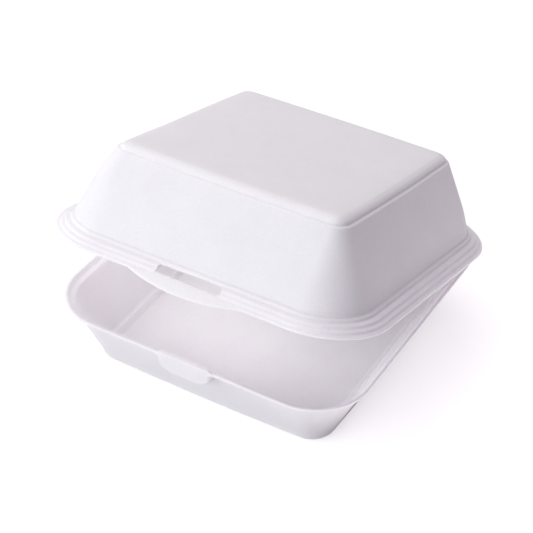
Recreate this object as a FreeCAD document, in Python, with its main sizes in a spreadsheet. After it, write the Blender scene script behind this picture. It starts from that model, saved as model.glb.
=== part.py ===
# Foam clamshell food container: a deep lid folded back from a shallow tray.
# Both halves are formed from one foam sheet and meet at a fold along the back edge.
# Millimetres, +Z up, origin at the centre of the flat underside of the tray.
# The front, where the latch is, faces -Y, and the fold runs along X at the back.
import FreeCAD
import Part
import Sketcher
import os
import re

doc = FreeCAD.newDocument("FoamClamshell")
sizes = doc.addObject("Spreadsheet::Sheet", "Sizes")

# Driving dimensions, in millimetres and degrees
DIMENSIONS = {
    # Square plan of the closed box, over the lip of the lid
    "lid_width": 150.0,
    "lip_corner_radius": 29.6,
    # The rim of the tray lies this far inside the lip of the lid
    "rim_inset": 4.2,
    # Foam sheet, and how far each flat plate reaches into the ring of walls round it
    "foam_thickness": 2.0,
    "ring_end": 1.6,
    "plate_overlap": 0.2,
    # Tray, outside: pressed edge, upright collar under it, sloping wall, ledge and foot
    "tray_height": 31.5,
    "edge_thickness": 1.3,
    "edge_undercut": 0.3,
    "collar_inset": 1.15,
    "collar_height": 1.7,
    "collar_spread": 1.1,
    "foot_inset": 14.5,
    "foot_ledge_width": 0.5,
    "foot_height": 3.1,
    "foot_radius": 2.9,
    # Tray, inside: flat rim, step down to a ledge, sloping wall, step down to the floor
    "rim_width": 2.4,
    "rim_step_lean": 0.4,
    "rim_step_drop": 2.4,
    "rim_ledge_width": 1.6,
    "rim_ledge_fall": 0.3,
    "inner_wall_run": 12.4,
    "inner_ledge_height": 5.2,
    "inner_ledge_width": 1.6,
    "inner_ledge_fall": 0.5,
    "floor_step_lean": 1.3,
    # Lid, outside: lip, four treads with low risers between them, sloping wall, ledge and panel
    "lid_height": 38.9,
    "lip_lean": 0.15,
    "lip_height": 0.9,
    "first_tread": 1.35,
    "second_tread": 1.0,
    "third_tread": 2.2,
    "fourth_tread": 1.9,
    "tread_rise": 0.38,
    "riser_height": 0.97,
    "riser_lean": 0.45,
    "lid_wall_run": 14.8,
    "panel_ledge_width": 0.6,
    "panel_ledge_rise": 0.4,
    "panel_band_height": 2.7,
    "panel_edge_radius": 2.4,
    # Lid, underside: blunt lip, shallow rise over the rim of the tray, sloping wall
    "lip_thickness": 1.3,
    "lip_bevel": 1.2,
    "shelf_start_inset": 4.2,
    "shelf_start_height": 2.1,
    "shelf_end_inset": 9.4,
    "shelf_end_height": 3.3,
    "inner_panel_bevel": 2.0,
    # How far the lip of the closed lid reaches below the top of the rim
    "lip_overlap": 1.7,
    # Fold along the back, and the opening shown
    "fold_length": 88.0,
    "fold_axis_offset": 0.6,
    "fold_axis_drop": 0.2,
    "fold_flap_drop": 0.5,
    "fold_flap_thickness": 1.1,
    "fold_flap_rise": 1.3,
    "opening_angle": 15.0,
    # Latch: slot and lifting tab in the front of the lid
    "slot_length": 29.0,
    "slot_inset": 1.5,
    "slot_width": 2.7,
    "slot_end_radius": 0.8,
    "tab_length": 52.0,
    "tab_reach": 4.2,
    "tab_slope": 26.0,
    "tab_thickness": 1.1,
    "tab_root_inset": 0.4,
    "tab_root_height": 0.95,
    # Latch: hollow tongue on the front of the tray
    "tongue_width": 26.5,
    "tongue_drop": 8.3,
    "tongue_rise": 1.1,
    "tongue_front_inset": 2.0,
    "tongue_depth": 7.0,
    "tongue_thickness": 1.5,
    "tongue_corner_radius": 6.5,
}

# Sizes that follow from the driving dimensions
DERIVED = {
    "lip_half": "lid_width / 2",
    "corner_axis": "lip_half - lip_corner_radius",
    "plate_half": "corner_axis + ring_end + plate_overlap",
    "rim_half": "lip_half - rim_inset",
    "edge_bottom": "tray_height - edge_thickness",
    "collar_half": "rim_half - collar_inset",
    "collar_bottom": "edge_bottom - edge_undercut - collar_height",
    "foot_half": "rim_half - foot_inset",
    "rim_inner_half": "rim_half - rim_width",
    "rim_step_half": "rim_inner_half - rim_step_lean",
    "rim_step_height": "tray_height - rim_step_drop",
    "wall_inner_half": "rim_step_half - rim_ledge_width",
    "rim_ledge_height": "rim_step_height - rim_ledge_fall",
    "inner_foot_half": "wall_inner_half - inner_wall_run",
    "tread_total": "first_tread + second_tread + third_tread + fourth_tread",
    "flange_inset": "lip_lean + tread_total + 4 * riser_lean",
    "flange_height": "lip_height + 4 * tread_rise + 4 * riser_height",
    "panel_half": "lip_half - flange_inset - lid_wall_run - panel_ledge_width",
    "panel_band_bottom": "lid_height - panel_band_height",
    "panel_underside": "lid_height - foam_thickness",
    "lid_lip_height": "tray_height - lip_overlap",
    "fold_axis_y": "lip_half + fold_axis_offset",
    "fold_axis_z": "lid_lip_height - fold_axis_drop",
    "flap_top": "lid_lip_height - fold_flap_drop",
    "flap_bottom": "flap_top - fold_flap_thickness",
    "tongue_front": "lip_half - tongue_front_inset",
    "tongue_half": "tongue_width / 2",
    "tongue_bottom_height": "tray_height - tongue_drop",
    "tongue_top": "tray_height + tongue_rise",
    "tab_arc_radius": "(tab_length ^ 2 / 4 + tab_reach ^ 2) / (2 * tab_reach)",
}

# Where a pocket needs to pass the surface it cuts, and how near counts as the same place
CLEARANCE = 5.0
TOUCHING = 0.01


def write_sizes():
    """Put every size in the sheet, each with its name as the alias of its cell."""
    row = 1
    for name, number in DIMENSIONS.items():
        sizes.set("A%d" % row, name)
        sizes.set("B%d" % row, str(number))
        sizes.setAlias("B%d" % row, name)
        row += 1
    for name, text in DERIVED.items():
        sizes.set("A%d" % row, name)
        sizes.set("B%d" % row, "=" + text)
        sizes.setAlias("B%d" % row, name)
        row += 1
    doc.recompute()


def formula(text):
    """A formula in size names, rewritten so that it reads them from the sheet."""
    return re.sub(r"[a-z]+(?:_[a-z]+)+", lambda word: "Sizes." + word.group(0), str(text))


def size(text):
    """The present value of a formula in size names."""
    return float(sizes.evalExpression(formula(text)))


def origin_item(body, role):
    """One of the body's own origin planes or axes."""
    for item in body.Origin.OriginFeatures:
        if item.Role == role:
            return item
    raise ValueError("no origin item " + role)


def new_body(name):
    body = doc.addObject("PartDesign::Body", name)
    body.Label = name
    return body


def new_sketch(body, name, plane, offsets=("0", "0", "0"), tilt="0"):
    """A sketch on an origin plane, moved by offsets in its own x, y and normal directions."""
    sketch = body.newObject("Sketcher::SketchObject", name)
    sketch.AttachmentSupport = (origin_item(body, plane), [""])
    sketch.MapMode = "FlatFace"
    turn = FreeCAD.Rotation(FreeCAD.Vector(1, 0, 0), size(tilt))
    sketch.AttachmentOffset = FreeCAD.Placement(FreeCAD.Vector(*map(size, offsets)), turn)
    for axis, text in zip("xyz", offsets):
        if text != "0":
            sketch.setExpression("AttachmentOffset.Base." + axis, formula(text))
    if tilt != "0":
        sketch.setExpression("AttachmentOffset.Rotation.Angle", formula(tilt))
    return sketch


def pin(sketch, line, text, direction):
    """Hold the start of a line at a distance from the sketch's origin, or on its axis for 0."""
    if text == "0":
        axis = -2 if direction == "X" else -1
        sketch.addConstraint(Sketcher.Constraint("PointOnObject", line, 1, axis))
        return
    rule = Sketcher.Constraint("Distance" + direction, -1, 1, line, 1, size(text))
    index = sketch.addConstraint(rule)
    sketch.setExpression("Constraints[%d]" % index, formula(text))


def add_outline(sketch, corners):
    """A closed outline through corners given as pairs of formulas, anticlockwise where curved.

    A corner with a third formula starts an arc of that radius, which bulges outwards."""
    points = [FreeCAD.Vector(size(corner[0]), size(corner[1]), 0) for corner in corners]
    count = len(points)
    for index, corner in enumerate(corners):
        start = points[index]
        end = points[(index + 1) % count]
        if len(corner) == 3:
            sketch.addGeometry(Part.Arc(start, arc_middle(start, end, size(corner[2])), end), False)
        else:
            sketch.addGeometry(Part.LineSegment(start, end), False)
    for index in range(count):
        rule = Sketcher.Constraint("Coincident", index, 2, (index + 1) % count, 1)
        sketch.addConstraint(rule)
    for index, corner in enumerate(corners):
        pin(sketch, index, corner[0], "X")
        pin(sketch, index, corner[1], "Y")
        if len(corner) == 3:
            rule = Sketcher.Constraint("Radius", index, size(corner[2]))
            number = sketch.addConstraint(rule)
            sketch.setExpression("Constraints[%d]" % number, formula(corner[2]))


def arc_middle(start, end, radius):
    """The middle of an anticlockwise arc between two points."""
    chord = end - start
    half = chord.Length / 2
    rise = radius - (radius ** 2 - half ** 2) ** 0.5
    outward = FreeCAD.Vector(chord.y, -chord.x, 0).normalize()
    return (start + end) / 2 + outward * rise


def tongue_corners(half, low, radius, top):
    """A tongue's outline: rounded below, square above."""
    return [
        ("-(%s - (%s))" % (half, radius), low),
        ("%s - (%s)" % (half, radius), low, radius),
        (half, "%s + %s" % (low, radius)),
        (half, top),
        ("-(%s)" % half, top),
        ("-(%s)" % half, "%s + %s" % (low, radius), radius),
    ]


def square_corners(half):
    """The corners of a square about the sketch's origin, from half its side."""
    minus = "-(%s)" % half
    return [(minus, minus), (half, minus), (half, half), (minus, half)]


def pad(body, name, sketch, length, both_ways=False, backwards=False):
    feature = body.newObject("PartDesign::Pad", name)
    feature.Profile = sketch
    feature.setExpression("Length", formula(length))
    if both_ways:
        feature.SideType = "Symmetric"
    feature.Reversed = backwards
    return feature


def pocket(body, name, sketch, length, both_ways=False, backwards=False):
    feature = body.newObject("PartDesign::Pocket", name)
    feature.Profile = sketch
    feature.setExpression("Length", formula(length))
    if both_ways:
        feature.SideType = "Symmetric"
    feature.Reversed = backwards
    doc.recompute()
    before = feature.BaseFeature.Shape.Volume
    if feature.Shape.Volume >= before:
        raise ValueError(name + " removes nothing")
    return feature


def fillet(body, name, base, edges, radius):
    """Round the named edges of the last feature."""
    feature = body.newObject("PartDesign::Fillet", name)
    feature.Base = (base, edges)
    feature.setExpression("Radius", formula(radius))
    return feature


def edges_where(feature, test):
    """The names of a feature's edges whose bounding box passes a test."""
    doc.recompute()
    chosen = []
    for number, edge in enumerate(feature.Shape.Edges, start=1):
        if test(edge.BoundBox):
            chosen.append("Edge%d" % number)
    if not chosen:
        raise ValueError("no edges found on " + feature.Name)
    return chosen


def near(first, second):
    return abs(first - second) < TOUCHING


def ring(body, name, corners):
    """Walls of one section all the way round: a side and a corner, four times over."""
    side_sketch = new_sketch(body, name + "SideSection", "XZ_Plane")
    add_outline(side_sketch, corners)
    side = pad(body, name + "Side", side_sketch, "2 * corner_axis", both_ways=True)

    # The corner's section is measured from the upright axis that the corner turns about
    offsets = ("corner_axis", "0", "corner_axis")
    corner_sketch = new_sketch(body, name + "CornerSection", "XZ_Plane", offsets)
    add_outline(corner_sketch, [("%s - corner_axis" % x, z) for x, z in corners])
    corner = body.newObject("PartDesign::Revolution", name + "Corner")
    corner.Profile = corner_sketch
    corner.ReferenceAxis = (corner_sketch, ["V_Axis"])
    corner.Angle = 90
    corner.Reversed = True

    pattern = body.newObject("PartDesign::PolarPattern", name + "Sides")
    pattern.Originals = [side, corner]
    pattern.Axis = (origin_item(body, "Z_Axis"), [""])
    pattern.Angle = 360
    pattern.Occurrences = 4
    body.Tip = pattern
    return pattern


def plate(body, name, height):
    """The flat plate inside a ring, whose underside is at this height."""
    sketch = new_sketch(body, name + "Outline", "XY_Plane", ("0", "0", height))
    add_outline(sketch, square_corners("plate_half"))
    return pad(body, name, sketch, "foam_thickness")


def build_tray():
    body = new_body("base_tray")
    outside = [
        ("rim_half", "tray_height"),
        ("rim_half", "edge_bottom"),
        ("collar_half", "edge_bottom - edge_undercut"),
        ("collar_half", "collar_bottom"),
        ("collar_half - collar_spread", "collar_bottom - collar_spread"),
        ("foot_half + foot_ledge_width", "foot_height + foot_ledge_width / 2"),
        ("foot_half", "foot_height"),
        ("foot_half", "0"),
        ("corner_axis + ring_end", "0"),
    ]
    inside = [
        ("corner_axis + ring_end", "foam_thickness"),
        ("inner_foot_half - inner_ledge_width - floor_step_lean", "foam_thickness"),
        ("inner_foot_half - inner_ledge_width", "inner_ledge_height - inner_ledge_fall"),
        ("inner_foot_half", "inner_ledge_height"),
        ("wall_inner_half", "rim_ledge_height"),
        ("rim_step_half", "rim_step_height"),
        ("rim_inner_half", "tray_height"),
    ]
    ring(body, "Tray", outside + inside)
    floor = plate(body, "TrayFloor", "0")

    foot = size("foot_half")
    edges = edges_where(floor, lambda box: near(box.ZMax, 0) and max(
        abs(box.XMin), abs(box.XMax), abs(box.YMin), abs(box.YMax)) > foot - TOUCHING)
    fillet(body, "TrayFoot", floor, edges, "foot_radius")

    # Strip that carries the fold, standing out from the rim at the back
    flap_sketch = new_sketch(body, "FoldStripSection", "YZ_Plane")
    add_outline(flap_sketch, [
        ("rim_inner_half + plate_overlap", "flap_bottom"),
        ("lip_half + plate_overlap", "flap_bottom"),
        ("lip_half + plate_overlap", "flap_top"),
        ("lip_half - tongue_front_inset", "flap_top"),
        ("rim_half + plate_overlap", "flap_top + fold_flap_rise"),
        ("rim_inner_half + plate_overlap", "flap_top + fold_flap_rise"),
    ])
    pad(body, "FoldStrip", flap_sketch, "fold_length", both_ways=True)

    # Tongue: a rounded block on the front wall, cleared inside the tray and then hollowed
    tongue_sketch = new_sketch(body, "TongueOutline", "XZ_Plane", ("0", "0", "tongue_front"))
    outline = tongue_corners("tongue_half", "tongue_bottom_height", "tongue_corner_radius",
                             "tongue_top")
    add_outline(tongue_sketch, outline)
    pad(body, "TongueBlock", tongue_sketch, "tongue_depth", backwards=True)

    clear_sketch = new_sketch(body, "TongueClearSection", "YZ_Plane")
    add_outline(clear_sketch, [
        ("-(tongue_front - tongue_thickness)", "tongue_top + %s" % CLEARANCE),
        ("-(tongue_front - tongue_thickness)", "tray_height"),
        ("-rim_inner_half", "tray_height"),
        ("-rim_step_half", "rim_step_height"),
        ("-wall_inner_half", "rim_ledge_height"),
        ("-(wall_inner_half - %s)" % CLEARANCE, "rim_ledge_height"),
        ("-(wall_inner_half - %s)" % CLEARANCE, "tongue_top + %s" % CLEARANCE),
    ])
    pocket(body, "TongueClear", clear_sketch, "tongue_width + plate_overlap", both_ways=True)

    offsets = ("0", "0", "tongue_front - tongue_thickness")
    hollow_sketch = new_sketch(body, "TongueHollowOutline", "XZ_Plane", offsets)
    outline = tongue_corners(
        "tongue_half - tongue_thickness", "tongue_bottom_height + tongue_thickness",
        "tongue_corner_radius - tongue_thickness", "tongue_top + %s" % CLEARANCE)
    add_outline(hollow_sketch, outline)
    pocket(body, "TongueHollow", hollow_sketch, "tongue_depth + %s" % CLEARANCE)
    return body


def build_lid():
    """The lid, drawn level with its lip at height 0 and then placed open above the tray."""
    body = new_body("lid")
    x = "lip_half - lip_lean"
    z = "lip_height"
    outside = [("lip_half", "0"), (x, z)]
    for tread in ("first_tread", "second_tread", "third_tread", "fourth_tread"):
        x += " - " + tread
        z += " + tread_rise"
        outside.append((x, z))
        x += " - riser_lean"
        z += " + riser_height"
        outside.append((x, z))
    outside += [
        ("panel_half + panel_ledge_width", "panel_band_bottom - panel_ledge_rise"),
        ("panel_half", "panel_band_bottom"),
        ("panel_half", "lid_height"),
        ("corner_axis + ring_end", "lid_height"),
    ]
    inside = [
        ("corner_axis + ring_end", "panel_underside"),
        ("panel_half - inner_panel_bevel", "panel_underside"),
        ("panel_half - panel_ledge_width", "panel_underside - inner_panel_bevel"),
        ("lip_half - shelf_end_inset", "shelf_end_height"),
        ("lip_half - shelf_start_inset", "shelf_start_height"),
        ("lip_half - lip_thickness - lip_bevel", "lip_bevel"),
        ("lip_half - lip_thickness", "0"),
    ]
    ring(body, "Lid", outside + inside)
    panel = plate(body, "LidPanel", "panel_underside")

    top = size("lid_height")
    half = size("panel_half")
    edges = edges_where(panel, lambda box: near(box.ZMin, top) and max(
        abs(box.XMin), abs(box.XMax), abs(box.YMin), abs(box.YMax)) > half - TOUCHING)
    fillet(body, "LidPanelEdge", panel, edges, "panel_edge_radius")

    add_tab(body)

    # Slot that the tongue passes through, cut down through the lip and its treads
    offsets = ("0", "-(lip_half - slot_inset - slot_width / 2)", "0")
    slot_sketch = new_sketch(body, "SlotOutline", "XY_Plane", offsets)
    add_outline(slot_sketch, [
        ("-(slot_length / 2)", "-(slot_width / 2)"),
        ("slot_length / 2", "-(slot_width / 2)"),
        ("slot_length / 2", "slot_width / 2"),
        ("-(slot_length / 2)", "slot_width / 2"),
    ])
    slot = pocket(body, "Slot", slot_sketch, "2 * flange_height", both_ways=True)
    end = size("slot_length / 2")
    edges = edges_where(slot, lambda box: near(box.XMin, box.XMax) and near(box.YMin, box.YMax)
                        and near(abs(box.XMin), end) and box.YMax < 0)
    fillet(body, "SlotEnds", slot, edges, "slot_end_radius")
    place_lid(body)
    return body


def add_tab(body):
    """Lifting tab: a shallow crescent that slopes down from the lip at the front."""
    offsets = ("0", "-(lip_half - tab_root_inset)", "tab_root_height")
    sketch = new_sketch(body, "TabOutline", "XY_Plane", offsets, tilt="tab_slope")
    add_outline(sketch, [
        ("-(tab_length / 2)", "0", "tab_arc_radius"),
        ("tab_length / 2", "0"),
    ])
    pad(body, "Tab", sketch, "tab_thickness", backwards=True)


def place_lid(body):
    """Turn the lid about the fold from closed to the opening shown."""
    turn = FreeCAD.Rotation(FreeCAD.Vector(1, 0, 0), -size("opening_angle"))
    body.Placement = FreeCAD.Placement(FreeCAD.Vector(0, 0, 0), turn)
    back = "fold_axis_y"
    up = "fold_axis_drop"
    across = "%s - %s * cos(opening_angle) + %s * sin(opening_angle)"
    above = "fold_axis_z + %s * sin(opening_angle) + %s * cos(opening_angle)"
    body.setExpression("Placement.Base.y", degrees(formula(across % (back, back, up))))
    body.setExpression("Placement.Base.z", degrees(formula(above % (back, up))))
    body.setExpression("Placement.Rotation.Angle", "-Sizes.opening_angle * 1 deg")


def degrees(text):
    """A formula whose sines and cosines are of degrees."""
    return text.replace("Sizes.opening_angle)", "Sizes.opening_angle * 1 deg)")


def check_and_export(bodies):
    """Write one file for each body, once everything in the document is sound."""
    doc.recompute()
    for item in doc.Objects:
        if "Invalid" in item.State or "Error" in item.State:
            raise RuntimeError("%s is %s" % (item.Name, item.State))
    for body in bodies:
        shape = body.Shape
        if shape.isNull() or not shape.isValid():
            raise RuntimeError(body.Label + " has no valid shape")
        if len(shape.Solids) != 1:
            raise RuntimeError("%s has %d solids" % (body.Label, len(shape.Solids)))
    os.makedirs("parts", exist_ok=True)
    for body in bodies:
        body.Shape.exportStep("parts/%s.step" % body.Label)
        box = body.Shape.BoundBox
        print(body.Label, "volume %.0f" % body.Shape.Volume,
              "x %.2f %.2f y %.2f %.2f z %.2f %.2f" % (
                  box.XMin, box.XMax, box.YMin, box.YMax, box.ZMin, box.ZMax))


write_sizes()
tray = build_tray()
lid = build_lid()
check_and_export([tray, lid])
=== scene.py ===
import math

import bmesh
import bpy
import numpy as np
from mathutils import Matrix, Vector


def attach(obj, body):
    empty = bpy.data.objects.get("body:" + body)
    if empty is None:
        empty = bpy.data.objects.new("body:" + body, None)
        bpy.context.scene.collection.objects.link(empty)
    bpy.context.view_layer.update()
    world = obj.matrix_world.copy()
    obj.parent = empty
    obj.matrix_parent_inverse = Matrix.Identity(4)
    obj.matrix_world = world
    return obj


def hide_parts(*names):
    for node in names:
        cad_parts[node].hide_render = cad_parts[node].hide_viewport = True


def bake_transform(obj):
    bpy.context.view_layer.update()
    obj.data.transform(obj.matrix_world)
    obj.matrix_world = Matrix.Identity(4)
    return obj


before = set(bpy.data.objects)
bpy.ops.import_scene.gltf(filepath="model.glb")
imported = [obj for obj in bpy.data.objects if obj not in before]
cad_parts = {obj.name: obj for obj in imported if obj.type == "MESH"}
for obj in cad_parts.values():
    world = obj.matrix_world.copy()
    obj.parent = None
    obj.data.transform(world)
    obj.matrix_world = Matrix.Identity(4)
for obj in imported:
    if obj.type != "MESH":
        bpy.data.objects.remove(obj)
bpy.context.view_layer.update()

MM = 0.001

# Plan of the closed box, over the lip of the lid
HALF = 75.0
CORNER_RADIUS = 29.6
CORNER_AXIS = HALF - CORNER_RADIUS
CORNER_STEPS = 26
SIDE_STEPS = 16

# Rim of the tray, lip of the lid, and the fold the lid turns about
RIM = HALF - 4.2
RIM_HEIGHT = 31.5
LID_LIP_HEIGHT = 29.8
FOLD_Y = 75.6
FOLD_Z = 29.6
FOLD_HALF_LENGTH = 44.0
FOLD_COLUMNS = 45
OPENING = math.radians(15.0)

# Slot through the lip of the lid, as insets from HALF; it is wider on the underside
SLOT_HALF = 14.5
SLOT_NEAR = 1.85
SLOT_FAR = 5.4
SLOT_NEAR_UNDER = 1.5
SLOT_FAR_UNDER = 8.4
LIP_TOP = 8.0

# Lifting tab in front of the slot
TAB_HALF = 26.0
TAB_REACH = 4.5
TAB_SLOPE = math.radians(20.0)
TAB_RADIUS = (TAB_HALF ** 2 + TAB_REACH ** 2) / (2 * TAB_REACH)

# Tongue on the front of the tray
TONGUE_HALF = 14.0
TONGUE_BOTTOM = 22.8
TONGUE_CORNER = 8.9
TONGUE_FRONT = 71.3
TONGUE_UPRIGHT_ABOVE = 30.0
TONGUE_SLOPE = 0.1
TONGUE_FADE = 3.0
TONGUE_THICKNESS = 1.5
TONGUE_RISE = 1.0
TONGUE_ARCH = 0.35


# Sections through the sheet

def rounded(corners):
    """A line through (across, up, radius) corners, each turned on an arc of its radius."""
    line = [np.array(corners[0][:2], float)]
    for before, corner, after in zip(corners, corners[1:], corners[2:]):
        point = np.array(corner[:2], float)
        to_before = np.array(before[:2], float) - point
        to_after = np.array(after[:2], float) - point
        length_before = np.linalg.norm(to_before)
        length_after = np.linalg.norm(to_after)
        to_before /= length_before
        to_after /= length_after
        half_turn = math.acos(max(-1.0, min(1.0, float(to_before @ to_after)))) / 2
        reach = corner[2] / math.tan(half_turn)
        reach = min(reach, 0.48 * length_before, 0.48 * length_after)
        radius = reach * math.tan(half_turn)
        if radius < 0.02:
            line.append(point)
            continue
        middle = to_before + to_after
        centre = point + middle / np.linalg.norm(middle) * radius / math.sin(half_turn)
        first = point + to_before * reach - centre
        last = point + to_after * reach - centre
        sweep = math.pi - 2 * half_turn
        steps = max(2, int(math.ceil(math.degrees(sweep) / 16)))
        side = math.copysign(1.0, first[0] * last[1] - first[1] * last[0])
        for step in range(steps + 1):
            turn = side * sweep * step / steps
            across = first[0] * math.cos(turn) - first[1] * math.sin(turn)
            up = first[0] * math.sin(turn) + first[1] * math.cos(turn)
            line.append(centre + np.array([across, up]))
    line.append(np.array(corners[-1][:2], float))
    return line


def subdivided(line, spacing):
    """The same line with points added, so that none are further apart than spacing(height)."""
    finer = [line[0]]
    for start, end in zip(line, line[1:]):
        step = spacing((start[1] + end[1]) / 2)
        count = max(1, int(math.ceil(np.linalg.norm(end - start) / step)))
        for index in range(1, count + 1):
            finer.append(start + (end - start) * index / count)
    return finer


def tray_section():
    """Underside, wall, rim and inside of the tray, as distance from the centre and height."""
    return [
        (47.0, 0.0, 0), (52.6, 0.0, 2.8), (55.1, 0.5, 2.0), (56.2, 1.9, 1.4), (56.7, 4.0, 0.6),
        (63.72, 19.5, 0), (67.3, 27.4, 0.9), (68.5, 29.5, 0.8), (70.7, 30.3, 0.25),
        (RIM, RIM_HEIGHT, 0.45), (69.5, RIM_HEIGHT, 0.6), (68.3, 29.5, 0.8), (66.4, 28.8, 0.9),
        (54.0, 5.2, 0.8), (52.4, 4.7, 0.8), (51.1, 2.0, 1.2), (47.0, 2.0, 0),
    ]


def lid_section():
    """Outside and inside of the lid above its own lip, from the centre of the panel outwards."""
    return [
        (45.8, 38.9, 0), (47.9, 38.75, 3.5), (49.9, 38.05, 3.5), (51.0, 37.1, 2.0),
        (51.3, 36.1, 0.15), (52.5, 35.75, 0.4), (57.0, 27.0, 30), (62.6, 16.0, 30),
        (66.5, 6.6, 3.0), (67.1, 5.25, 0.7), (68.4, 4.95, 0.45), (68.9, 3.98, 0.55),
        (71.0, 3.6, 0.45), (71.6, 2.63, 0.55), (73.0, 2.25, 0.4), (73.5, 1.28, 0.45),
        (74.8, 0.9, 0.35), (75.0, 0.0, 0.3), (73.7, 0.0, 0.3), (72.5, 1.2, 0.4),
        (70.8, 2.1, 0.5), (65.6, 3.3, 0.8), (50.6, 34.9, 1.2), (49.2, 36.9, 1.5), (45.8, 36.9, 0),
    ]


def rim_path():
    """The outline of the closed box seen from above, with more points near the latch."""
    front = []
    for start, end, step in ((-CORNER_AXIS, -30, 2.6), (-30, -16, 1.0), (-16, -SLOT_HALF, 0.375),
                             (-SLOT_HALF, -10, 0.375), (-10, -4, 0.4), (-4, 4, 1.0),
                             (4, 10, 0.4), (10, SLOT_HALF, 0.375),
                             (SLOT_HALF, 16, 0.375), (16, 30, 1.0), (30, CORNER_AXIS, 2.6)):
        count = int(round((end - start) / step))
        front += [start + (end - start) * index / count for index in range(count)]
    points = [(x, -HALF) for x in front]
    for quarter, (cx, cy) in enumerate(((1, -1), (1, 1), (-1, 1), (-1, -1))):
        for index in range(CORNER_STEPS):
            turn = math.radians(-90 + 90 * quarter + 90 * index / CORNER_STEPS)
            points.append((cx * CORNER_AXIS + CORNER_RADIUS * math.cos(turn),
                           cy * CORNER_AXIS + CORNER_RADIUS * math.sin(turn)))
        if quarter == 3:
            break
        turn = math.radians(90 * quarter)
        across = Vector((math.cos(turn), math.sin(turn))) * HALF
        along = Vector((-math.sin(turn), math.cos(turn)))
        for index in range(SIDE_STEPS):
            where = across + along * CORNER_AXIS * (2 * index / SIDE_STEPS - 1)
            points.append((where.x, where.y))
    return points


# Sweeping a section round the box

def line_object(name, points, closed):
    """A mesh of edges only, through points given in millimetres."""
    edges = [(index, index + 1) for index in range(len(points) - 1)]
    if closed:
        edges.append((len(points) - 1, 0))
    mesh = bpy.data.meshes.new(name)
    mesh.from_pydata([(p[0] * MM, p[1] * MM, 0.0) for p in points], edges, [])
    line = bpy.data.objects.new(name, mesh)
    bpy.context.scene.collection.objects.link(line)
    return line


def sweep_tree():
    """Sweep a section round a path, then let the sides between the corners bow outwards."""
    tree = bpy.data.node_groups.new("sheet_round_the_box", "GeometryNodeTree")
    face = tree.interface
    sockets = {}
    for name, kind in (("Section", "NodeSocketGeometry"), ("Rim path", "NodeSocketObject"),
                       ("Straight half length", "NodeSocketFloat"),
                       ("Height with no bow", "NodeSocketFloat"),
                       ("Height of full bow", "NodeSocketFloat"),
                       ("Bow", "NodeSocketFloat"), ("Foam", "NodeSocketMaterial")):
        sockets[name] = face.new_socket(name, in_out="INPUT", socket_type=kind).identifier
    face.new_socket("Sheet", in_out="OUTPUT", socket_type="NodeSocketGeometry")
    nodes = tree.nodes
    link = tree.links.new
    given = nodes.new("NodeGroupInput").outputs

    section = nodes.new("GeometryNodeMeshToCurve")
    link(given["Section"], section.inputs["Mesh"])
    path = nodes.new("GeometryNodeObjectInfo")
    link(given["Rim path"], path.inputs["Object"])
    path_curve = nodes.new("GeometryNodeMeshToCurve")
    link(path.outputs["Geometry"], path_curve.inputs["Mesh"])
    upright = nodes.new("GeometryNodeSetCurveNormal")
    link(path_curve.outputs["Curve"], upright.inputs["Curve"])
    upright.mode = "Z_UP"
    swept = nodes.new("GeometryNodeCurveToMesh")
    link(upright.outputs["Curve"], swept.inputs["Curve"])
    link(section.outputs["Curve"], swept.inputs["Profile Curve"])

    def calc(operation, *values):
        node = nodes.new("ShaderNodeMath")
        node.operation = operation
        for socket, value in zip(node.inputs, values):
            if isinstance(value, (int, float)):
                socket.default_value = value
            else:
                link(value, socket)
        return node.outputs["Value"]

    where = nodes.new("ShaderNodeSeparateXYZ")
    link(nodes.new("GeometryNodeInputPosition").outputs["Position"], where.inputs["Vector"])
    x, y, z = where.outputs
    on_side = calc("GREATER_THAN", calc("ABSOLUTE", x), calc("ABSOLUTE", y))
    on_front = calc("SUBTRACT", 1.0, on_side)
    along = calc("ADD", calc("MULTIPLY", on_side, y), calc("MULTIPLY", on_front, x))
    share = calc("DIVIDE", along, given["Straight half length"])
    arch = calc("MAXIMUM", calc("SUBTRACT", 1.0, calc("MULTIPLY", share, share)), 0.0)
    rise = nodes.new("ShaderNodeMapRange")
    rise.interpolation_type = "SMOOTHSTEP"
    link(z, rise.inputs["Value"])
    link(given["Height with no bow"], rise.inputs["From Min"])
    link(given["Height of full bow"], rise.inputs["From Max"])
    push = calc("MULTIPLY", calc("MULTIPLY", arch, rise.outputs["Result"]), given["Bow"])
    offset = nodes.new("ShaderNodeCombineXYZ")
    link(calc("MULTIPLY", calc("MULTIPLY", calc("SIGN", x), on_side), push), offset.inputs["X"])
    link(calc("MULTIPLY", calc("MULTIPLY", calc("SIGN", y), on_front), push), offset.inputs["Y"])
    bowed = nodes.new("GeometryNodeSetPosition")
    link(swept.outputs["Mesh"], bowed.inputs["Geometry"])
    link(offset.outputs["Vector"], bowed.inputs["Offset"])

    real = nodes.new("GeometryNodeRealizeInstances")
    link(bowed.outputs["Geometry"], real.inputs["Geometry"])
    dressed = nodes.new("GeometryNodeSetMaterial")
    link(real.outputs["Geometry"], dressed.inputs["Geometry"])
    link(given["Foam"], dressed.inputs["Material"])
    link(dressed.outputs["Geometry"], nodes.new("NodeGroupOutput").inputs["Sheet"])
    return tree, sockets


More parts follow.
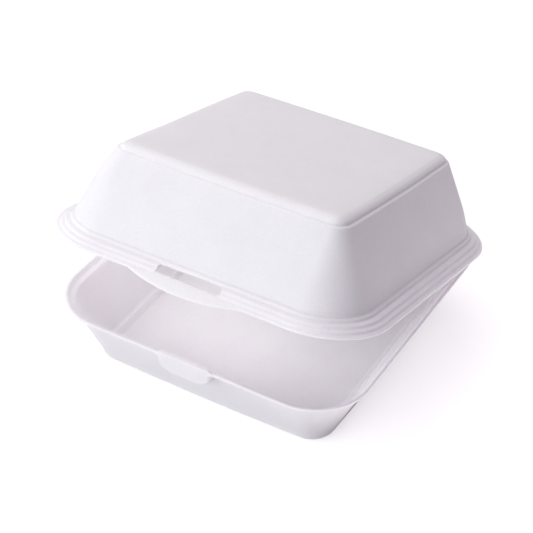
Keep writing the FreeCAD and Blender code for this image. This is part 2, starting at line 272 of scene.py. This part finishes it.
def sweep(name, line, path, heights, bow, foam):
    """A plain mesh of the section swept round the path, which turns a section's heights down."""
    carrier = line_object(name + "_section", [(p[0] - HALF, -p[1]) for p in line], False)
    modifier = carrier.modifiers.new("sweep", "NODES")
    modifier.node_group = SWEEP
    modifier[SWEEP_INPUTS["Rim path"]] = path
    modifier[SWEEP_INPUTS["Straight half length"]] = CORNER_AXIS * MM
    modifier[SWEEP_INPUTS["Height with no bow"]] = heights[0] * MM
    modifier[SWEEP_INPUTS["Height of full bow"]] = heights[1] * MM
    modifier[SWEEP_INPUTS["Bow"]] = bow * MM
    modifier[SWEEP_INPUTS["Foam"]] = foam
    bpy.context.view_layer.update()
    depsgraph = bpy.context.evaluated_depsgraph_get()
    mesh = bpy.data.meshes.new_from_object(carrier.evaluated_get(depsgraph))
    mesh.name = name
    bpy.data.objects.remove(carrier)
    return mesh


# Finishing a swept sheet

def close_plates(sheet):
    """Carry both open edges of a swept sheet in to the middle as flat plates of square rings."""
    loose = [edge for edge in sheet.edges if edge.is_boundary]
    while loose:
        ring = [loose.pop()]
        grown = True
        while grown:
            grown = False
            verts = {vert for edge in ring for vert in edge.verts}
            for edge in list(loose):
                if edge.verts[0] in verts or edge.verts[1] in verts:
                    ring.append(edge)
                    loose.remove(edge)
                    grown = True
        for scale in (0.8, 0.75, 0.66, 0.5, 0.2):
            made = bmesh.ops.extrude_edge_only(sheet, edges=ring)["geom"]
            verts = [item for item in made if isinstance(item, bmesh.types.BMVert)]
            ring = [item for item in made if isinstance(item, bmesh.types.BMEdge)
                    and item.verts[0] in verts and item.verts[1] in verts]
            for vert in verts:
                vert.co.x *= scale
                vert.co.y *= scale
        bmesh.ops.contextual_create(sheet, geom=ring)


def smooth_step(low, high, value):
    """0 below low, 1 above high and smooth between."""
    share = np.clip((value - low) / (high - low), 0.0, 1.0)
    return share * share * (3 - 2 * share)


def positions(mesh):
    """The vertices of a mesh in millimetres."""
    flat = np.empty(len(mesh.vertices) * 3)
    mesh.vertices.foreach_get("co", flat)
    return flat.reshape(-1, 3) / MM


def set_positions(mesh, places):
    mesh.vertices.foreach_set("co", (places * MM).ravel())
    mesh.update()


def inside_tongue(x, z, margin):
    """How far a point of the front wall lies inside a tongue's rounded outline."""
    half = TONGUE_HALF - margin
    low = TONGUE_BOTTOM + margin
    radius = TONGUE_CORNER - margin
    side = np.abs(x) - (half - radius)
    down = (low + radius) - z
    corner = radius - np.hypot(np.maximum(side, 0), np.maximum(down, 0))
    return np.where(down > 0, corner, half - np.abs(x))


def press_tongue(places):
    """Press the hollow tongue out of the tray's front wall, with the rim drawn up over it."""
    x, y, z = places.T
    front = y < -60.0
    inner_wall = np.interp(z, [2.0, 5.2, 28.8, 29.5, RIM_HEIGHT], [51.0, 54.0, 66.4, 68.3, 69.5])
    outer_wall = np.interp(z, [0.0, 4.0, 27.4, 29.5, 30.3, RIM_HEIGHT],
                           [54.0, 56.7, 67.3, 68.5, RIM, RIM])
    front_wall = TONGUE_FRONT - TONGUE_SLOPE * np.maximum(TONGUE_UPRIGHT_ABOVE - z, 0)
    inner = front & (-y < (inner_wall + outer_wall) / 2)
    outer = front & ~inner
    # It stands out less towards its two ends
    ends = 1 - np.clip((TONGUE_HALF - np.abs(x)) / TONGUE_FADE, 0.0, 1.0)
    push_out = smooth_step(-0.6, 0.4, inside_tongue(x, z, 0.0)) * (1 - ends ** 2) * outer
    # The hollow behind it stays below the rim
    push_in = smooth_step(-0.5, 2.0, inside_tongue(x, z, TONGUE_THICKNESS)) * inner
    push_in = push_in * (1 - smooth_step(27.0, 28.8, z))
    moved = places.copy()
    moved[:, 1] = np.where(outer, y + (-front_wall - y) * push_out, moved[:, 1])
    pocket = TONGUE_THICKNESS - front_wall
    moved[:, 1] = np.where(inner, y + (pocket - y) * push_in, moved[:, 1])
    across = smooth_step(0.0, 3.0, TONGUE_HALF - np.abs(x))
    arch = 1.0 + TONGUE_ARCH * (1 - (x / TONGUE_HALF) ** 2)
    lift = TONGUE_RISE * arch * across * smooth_step(29.6, RIM_HEIGHT, z)
    moved[:, 2] += np.where(front, lift, 0.0)
    return moved


def nudge(places, centre, reach, shift):
    """Push the sheet round a point by a shift that fades out smoothly within reach."""
    distance = np.linalg.norm((places - np.array(centre)) / np.array(reach), axis=1)
    return places + np.outer(1 - smooth_step(0.0, 1.0, distance), shift)


def draw_tab(places):
    """Draw the lip out and down at the front as the lifting tab."""
    x, y, z = places.T
    inset = HALF + y
    sagitta = np.sqrt(np.maximum(TAB_RADIUS ** 2 - x ** 2, 0)) - (TAB_RADIUS - TAB_REACH)
    reach = np.maximum(sagitta, 0) * (np.abs(x) < TAB_HALF)
    reach = reach * (inset < 5.0) * (y < 0) * (z < 6.0)
    share = 1 - smooth_step(0.05, 0.95, inset)
    moved = places.copy()
    moved[:, 1] -= reach * share
    moved[:, 2] -= reach * share * math.tan(TAB_SLOPE)
    return moved


def cut_slot(sheet):
    """Cut the slot through both skins of the lid's lip, wider below, and line it with walls."""
    doomed = []
    for face in sheet.faces:
        centre = face.calc_center_median() / MM
        inset = HALF + centre.y
        between_skins = np.interp(-centre.y, [65.6, 70.8, 72.5, 73.7], [4.0, 2.8, 1.8, 0.6])
        if centre.z < between_skins:
            near, far = SLOT_NEAR_UNDER, SLOT_FAR_UNDER
        else:
            near, far = SLOT_NEAR, SLOT_FAR
        if abs(centre.x) < SLOT_HALF and near < inset < far and centre.z < LIP_TOP:
            doomed.append(face)
    bmesh.ops.delete(sheet, geom=doomed, context="FACES")
    edges = [edge for edge in sheet.edges if edge.is_boundary
             and max(vert.co.z for vert in edge.verts) < LIP_TOP * MM]
    bmesh.ops.bridge_loops(sheet, edges=edges)


# Foam

def foam_material():
    """White foam sheet with a smooth skin over fine closed cells."""
    material = bpy.data.materials.new("white_foam_sheet")
    material.use_nodes = True
    tree = material.node_tree
    nodes = tree.nodes
    link = tree.links.new
    shader = nodes["Principled BSDF"]
    where = nodes.new("ShaderNodeTexCoord").outputs["Object"]

    def noise(scale, detail, roughness=0.5):
        node = nodes.new("ShaderNodeTexNoise")
        node.inputs["Scale"].default_value = scale
        node.inputs["Detail"].default_value = detail
        node.inputs["Roughness"].default_value = roughness
        link(where, node.inputs["Vector"])
        return node.outputs["Fac"]

    def mapped(value, source, target):
        node = nodes.new("ShaderNodeMapRange")
        link(value, node.inputs["Value"])
        for end, number in zip(("From Min", "From Max", "To Min", "To Max"), source + target):
            node.inputs[end].default_value = number
        return node.outputs["Result"]

    def bump(height, strength, distance):
        node = nodes.new("ShaderNodeBump")
        node.inputs["Strength"].default_value = strength
        node.inputs["Distance"].default_value = distance
        link(height, node.inputs["Height"])
        return node

    # Cells under the skin: a mesh of thin walls less than a millimetre apart
    cells = nodes.new("ShaderNodeTexVoronoi")
    cells.feature = "SMOOTH_F1"
    cells.inputs["Scale"].default_value = 1500
    cells.inputs["Smoothness"].default_value = 0.4
    link(where, cells.inputs["Vector"])

    # Sheet colour, a little uneven from place to place
    blotches = nodes.new("ShaderNodeValToRGB")
    blotches.color_ramp.elements[0].position = 0.35
    blotches.color_ramp.elements[0].color = (0.861, 0.828, 0.866, 1)
    blotches.color_ramp.elements[1].position = 0.65
    blotches.color_ramp.elements[1].color = (0.879, 0.845, 0.884, 1)
    link(noise(70, 4), blotches.inputs["Fac"])
    tint = nodes.new("ShaderNodeVectorMath")
    tint.operation = "SCALE"
    link(blotches.outputs["Color"], tint.inputs[0])
    link(mapped(cells.outputs["Distance"], (0.1, 0.7), (1.0, 0.965)), tint.inputs["Scale"])
    link(tint.outputs["Vector"], shader.inputs["Base Color"])

    # Skin: gloss that varies a little, fine cells and a faint waviness
    link(mapped(noise(260, 5), (0.3, 0.7), (0.52, 0.66)), shader.inputs["Roughness"])
    waves = bump(noise(60, 2), 0.14, 0.0006)
    grain = bump(cells.outputs["Distance"], 0.3, 0.00006)
    link(waves.outputs["Normal"], grain.inputs["Normal"])
    link(grain.outputs["Normal"], shader.inputs["Normal"])

    shader.inputs["Specular IOR Level"].default_value = 0.35
    shader.inputs["Subsurface Weight"].default_value = 1.0
    shader.inputs["Subsurface Radius"].default_value = (1.0, 0.95, 1.0)
    shader.inputs["Subsurface Scale"].default_value = 0.001
    return material


def finish_piece(mesh, name, body=None, node=None):
    """Put a finished mesh in the scene as the piece that stands for a node."""
    mesh.polygons.foreach_set("use_smooth", [True] * len(mesh.polygons))
    mesh.set_sharp_from_angle(angle=math.radians(38))
    piece = bpy.data.objects.new(name, mesh)
    bpy.context.scene.collection.objects.link(piece)
    if body:
        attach(piece, body)
        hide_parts(node)
    return piece


def open_sheet(mesh):
    sheet = bmesh.new()
    sheet.from_mesh(mesh)
    return sheet


def keep_sheet(sheet, mesh):
    bmesh.ops.recalc_face_normals(sheet, faces=sheet.faces)
    sheet.to_mesh(mesh)
    sheet.free()


def make_tray(path, foam):
    # Fine rows where the tongue's outline runs
    line = subdivided(rounded(tray_section()), lambda z: 0.35 if 19.5 < z < 29 else 2.2)
    mesh = sweep("tray_sheet", line, path, (27.1, 3.3), 0.63, foam)
    set_positions(mesh, press_tongue(positions(mesh)))
    sheet = open_sheet(mesh)
    close_plates(sheet)
    keep_sheet(sheet, mesh)
    return finish_piece(mesh, "tray_shell", "base", "base_tray")


def make_lid(path, foam):
    # Fine rows in the lip, and rows where the edges of the slot run
    line = subdivided(rounded(lid_section()), lambda z: 0.3 if z < 4 else 2.6)
    edges = (SLOT_NEAR, SLOT_FAR, SLOT_NEAR_UNDER, SLOT_FAR_UNDER)
    line = with_rows_at(line, [HALF - inset for inset in edges])
    mesh = sweep("lid_sheet", line, path, (6.3, 35.8), 0.7, foam)
    places = draw_tab(positions(mesh))
    # Marks of forming: a fuller corner of the wall and of its foot at the front left, and a
    # corner of the lip pulled in at the back right
    places = nudge(places, (-56, -50, 27), (40, 46, 26), (-2.2, -0.25, 0))
    places = nudge(places, (-65, -57, 8.0), (20, 20, 7.0), (-0.9, -0.5, 0))
    places = nudge(places, (68, 66, 0), (30, 30, 14), (-1.0, -1.0, 0.65))
    set_positions(mesh, places)
    sheet = open_sheet(mesh)
    cut_slot(sheet)
    close_plates(sheet)
    sheet.transform(closed_to_open())
    keep_sheet(sheet, mesh)
    return finish_piece(mesh, "lid_shell", "lid", "lid")


def with_rows_at(line, distances):
    """The same line with a point wherever it crosses one of the distances from the centre."""
    rows = [line[0]]
    for start, end in zip(line, line[1:]):
        shares = sorted((distance - start[0]) / (end[0] - start[0]) for distance in distances
                        if (start[0] - distance) * (end[0] - distance) < 0)
        rows += [start + (end - start) * share for share in shares]
        rows.append(end)
    return rows


def closed_to_open():
    """From the lid's own level frame to its place in the scene, turned about the fold."""
    up = Matrix.Translation((0, -FOLD_Y * MM, (LID_LIP_HEIGHT - FOLD_Z) * MM))
    turn = Matrix.Rotation(-OPENING, 4, "X")
    return Matrix.Translation((0, FOLD_Y * MM, FOLD_Z * MM)) @ turn @ up


def make_fold(foam):
    """The pressed strip that both halves share, bent round the line that the lid turns about."""
    outer = [(75.1, 28.35), (75.6, 28.5), (76.0, 28.95),
             (76.12, 29.6), (76.0, 30.2), (75.62, 30.66)]
    inner = [(75.1, 29.15), (75.32, 29.3), (75.42, 29.6), (75.3, 29.85), (75.1, 30.0)]
    loop = outer + inner[::-1]
    sheet = bmesh.new()
    rings = []
    for column in range(FOLD_COLUMNS + 1):
        x = FOLD_HALF_LENGTH * (2 * column / FOLD_COLUMNS - 1)
        rings.append([sheet.verts.new((x * MM, y * MM, z * MM)) for y, z in loop])
    for left, right in zip(rings, rings[1:]):
        for index in range(len(loop)):
            after = (index + 1) % len(loop)
            sheet.faces.new((left[index], left[after], right[after], right[index]))
    sheet.faces.new(rings[0])
    sheet.faces.new(rings[-1][::-1])
    mesh = bpy.data.meshes.new("fold_sheet")
    mesh.materials.append(foam)
    keep_sheet(sheet, mesh)
    piece = finish_piece(mesh, "fold_strip")
    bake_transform(piece)
    return piece


# Studio

def area_light(name, place, target, width, height, power, colour):
    """A rectangular lamp, in metres and watts, that the camera doesn't see."""
    data = bpy.data.lights.new(name, "AREA")
    data.shape = "RECTANGLE"
    data.size = width
    data.size_y = height
    data.energy = power
    data.color = colour
    lamp = bpy.data.objects.new(name, data)
    lamp.location = place
    aim = Vector(target) - Vector(place)
    lamp.rotation_euler = aim.to_track_quat("-Z", "Y").to_euler()
    lamp.visible_camera = False
    bpy.context.scene.collection.objects.link(lamp)
    return lamp


def make_floor():
    """A pale floor that reads white where it is open and keeps the object's shadow."""
    size = 6.0
    mesh = bpy.data.meshes.new("studio_floor")
    mesh.from_pydata([(-size, -size, 0), (size, -size, 0), (size, size, 0), (-size, size, 0)],
                     [], [(0, 1, 2, 3)])
    floor = bpy.data.objects.new("studio_floor", mesh)
    bpy.context.scene.collection.objects.link(floor)
    material = bpy.data.materials.new("pale_floor")
    material.use_nodes = True
    nodes = material.node_tree.nodes
    link = material.node_tree.links.new
    nodes.remove(nodes["Principled BSDF"])
    matte = nodes.new("ShaderNodeBsdfDiffuse")
    matte.inputs["Color"].default_value = (0.73, 0.7, 0.725, 1)
    glow = nodes.new("ShaderNodeEmission")
    glow.inputs["Strength"].default_value = 0.55
    seen = nodes.new("ShaderNodeLightPath")
    shown = nodes.new("ShaderNodeMixShader")
    both = nodes.new("ShaderNodeAddShader")
    link(matte.outputs["BSDF"], both.inputs[0])
    link(glow.outputs["Emission"], both.inputs[1])
    link(seen.outputs["Is Camera Ray"], shown.inputs["Fac"])
    link(matte.outputs["BSDF"], shown.inputs[1])
    link(both.outputs["Shader"], shown.inputs[2])
    link(shown.outputs["Shader"], nodes["Material Output"].inputs["Surface"])
    mesh.materials.append(material)


def make_world():
    world = bpy.data.worlds.new("studio")
    bpy.context.scene.world = world
    world.use_nodes = True
    nodes = world.node_tree.nodes
    link = world.node_tree.links.new
    light = nodes["Background"]
    light.inputs["Color"].default_value = (0.96, 0.88, 1.0, 1)
    light.inputs["Strength"].default_value = 0.345
    white = nodes.new("ShaderNodeBackground")
    white.inputs["Color"].default_value = (1, 1, 1, 1)
    white.inputs["Strength"].default_value = 1.0
    seen = nodes.new("ShaderNodeLightPath")
    either = nodes.new("ShaderNodeMath")
    either.operation = "MAXIMUM"
    link(seen.outputs["Is Camera Ray"], either.inputs[0])
    link(seen.outputs["Is Transmission Ray"], either.inputs[1])
    shown = nodes.new("ShaderNodeMixShader")
    link(either.outputs["Value"], shown.inputs["Fac"])
    link(light.outputs["Background"], shown.inputs[1])
    link(white.outputs["Background"], shown.inputs[2])
    link(shown.outputs["Shader"], nodes["World Output"].inputs["Surface"])


def make_camera():
    """The photograph's view: from the front right, above, with a long lens."""
    azimuth = math.radians(29.84)
    elevation = math.radians(38.35)
    roll = math.radians(1.07)
    distance = 687.8
    slide = (-2.67, 2.31)
    image_side = 533
    focal_pixels = 1600.55
    back = Vector((math.sin(azimuth) * math.cos(elevation),
                   -math.cos(azimuth) * math.cos(elevation), math.sin(elevation)))
    level = (-back).cross(Vector((0, 0, 1))).normalized()
    upright = level.cross(-back)
    right = level * math.cos(roll) + upright * math.sin(roll)
    up = upright * math.cos(roll) - level * math.sin(roll)
    target = Vector((0, 0, 30)) + right * slide[0] + up * slide[1]
    data = bpy.data.cameras.new("view")
    data.sensor_width = 36
    data.lens = focal_pixels * data.sensor_width / image_side
    data.clip_start = 0.01
    camera = bpy.data.objects.new("view", data)
    place = Matrix((right, up, back)).transposed().to_4x4()
    place.translation = (target + back * distance) * MM
    camera.matrix_world = place
    bpy.context.scene.collection.objects.link(camera)
    bpy.context.scene.camera = camera


SWEEP, SWEEP_INPUTS = sweep_tree()
foam = foam_material()
path = line_object("rim_path", rim_path(), True)
make_tray(path, foam)
make_lid(path, foam)
make_fold(foam)
bpy.data.objects.remove(path)

make_floor()
make_world()
area_light("key", (-0.33, -0.91, 0.44), (0, 0, 0.04), 1.0, 0.8, 7.9, (0.915, 1.0, 0.965))
area_light("top", (-0.36, 0.34, 0.83), (0, 0, 0.04), 0.9, 0.8, 5.0, (0.97, 1.0, 0.93))
# Light that the floor returns to the tray's right wall
area_light("beside", (0.13, 0, 0.003), (0.13, 0, 1), 0.1, 0.3, 0.115, (1.0, 0.98, 0.97))
# Daylight that comes through the thin foam of the lid, and moves with it
inner_glow = area_light("through_lid", (-0.014, -0.019, 0.059), (-0.021, -0.033, 0.0),
                        0.076, 0.062, 0.02, (1.0, 1.0, 0.97))
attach(inner_glow, "lid")
make_camera()
bpy.context.scene.view_settings.view_transform = "Standard"
